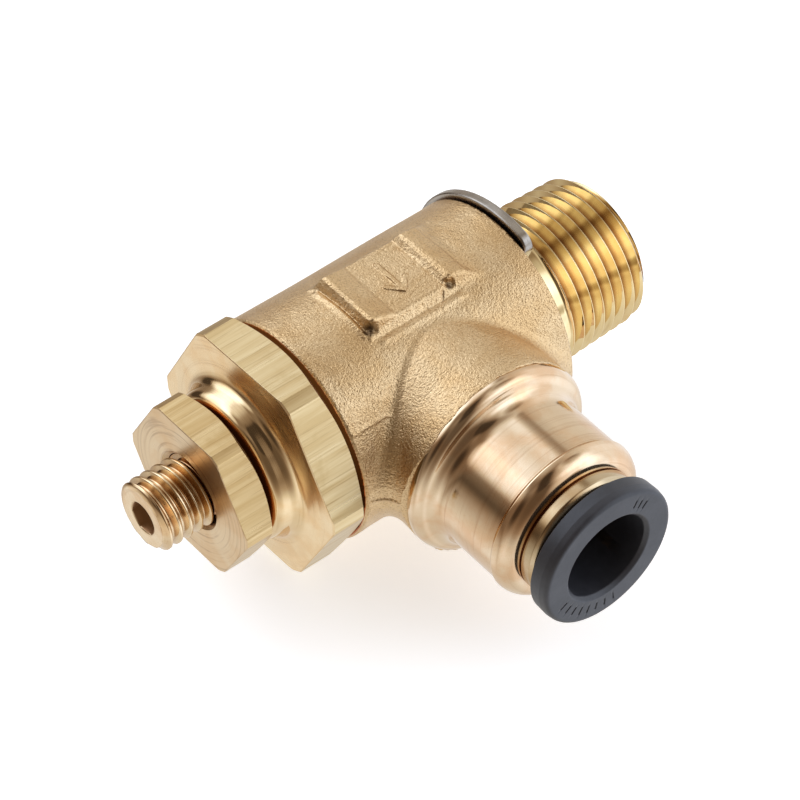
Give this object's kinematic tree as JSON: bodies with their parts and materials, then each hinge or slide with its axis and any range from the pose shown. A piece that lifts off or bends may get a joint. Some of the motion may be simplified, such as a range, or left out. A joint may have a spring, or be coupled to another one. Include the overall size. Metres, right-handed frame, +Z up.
{
  "type": "pressure relief valve",
  "caption": "Right-angle swivel relief valve with a tapered male inlet thread, push-in tube outlet and a screw-set spring under a hex bonnet.",
  "frame": {"origin": "on the male thread's axis, in the plane where the thread starts", "axes": "+X along the male thread, away from the valve; the tube port points to -Y at rest; +Z up through the cast pad"},
  "size_m": [0.0596, 0.047, 0.0261],
  "materials": {
    "cast_brass": "shot-blasted casting with machined ends",
    "turned_brass": "turned and polished",
    "nut_brass": "drawn hex bar, brushed along the flats",
    "thread_brass": "bright cut thread",
    "ring_steel": "grey phosphated spring steel",
    "bright_steel": "ground",
    "spring_steel": "drawn stainless wire and strip",
    "rubber": "satin moulded",
    "black_plastic": "fine satin moulded",
    "white_plastic": "satin moulded"
  },
  "bodies": {
    "stem_assembly": {"stem": "thread_brass", "retaining_ring": "ring_steel", "bonnet": "turned_brass", "valve_seat": "turned_brass", "seat_o_ring": "rubber", "swivel_o_ring_rear": "rubber", "swivel_o_ring_front": "rubber", "bonnet_o_ring": "rubber", "screw_o_ring": "rubber", "spring": "spring_steel"},
    "swivel_body": {"body": "cast_brass", "cartridge_ring": "thread_brass", "grab_ring": "spring_steel", "tube_o_ring": "rubber", "backup_ring": "white_plastic"},
    "release_collar_body": {"release_collar": "black_plastic"},
    "button_assembly": {"spring_button": "bright_steel", "thrust_ball": "bright_steel"},
    "screw_body": {"adjusting_screw": "thread_brass"},
    "nut_seal_body": {"lock_nut_seal": "rubber"},
    "nut_body": {"lock_nut": "nut_brass"},
    "poppet_assembly": {"poppet": "turned_brass", "poppet_seal": "rubber", "seal_retainer": "bright_steel"}
  },
  "joints": [
    {"name": "body_swivel", "type": "hinge", "parent": "stem_assembly", "child": "swivel_body", "pos_m": [-0.0169, 0, 0], "axis": [1, 0, 0], "continuous": true},
    {"name": "collar_press", "type": "slide", "parent": "swivel_body", "child": "release_collar_body", "axis": [0, 1, 0], "range_m": [0, 0.0007]},
    {"name": "button_feed", "type": "slide", "parent": "stem_assembly", "child": "button_assembly", "axis": [1, 0, 0], "range_m": [-0.00125, 0.0025], "deforming": ["spring"]},
    {"name": "screw_turn", "type": "hinge", "parent": "button_assembly", "child": "screw_body", "pos_m": [-0.0169, 0, 0], "axis": [1, 0, 0], "range_deg": [-361, 721]},
    {"name": "nut_feed", "type": "slide", "parent": "stem_assembly", "child": "nut_seal_body", "axis": [1, 0, 0], "range_m": [-0.00125, 0]},
    {"name": "nut_turn", "type": "hinge", "parent": "nut_seal_body", "child": "nut_body", "pos_m": [-0.0169, 0, 0], "axis": [1, 0, 0], "range_deg": [-361, 0]},
    {"name": "poppet_lift", "type": "slide", "parent": "stem_assembly", "child": "poppet_assembly", "axis": [-1, 0, 0], "range_m": [0, 0.002], "deforming": ["spring"]}
  ],
  "couplings": [
    {"joint": "screw_turn", "follows": "button_feed", "rad_per_m": 5026.5},
    {"joint": "nut_turn", "follows": "nut_feed", "rad_per_m": 5026.5}
  ]
}
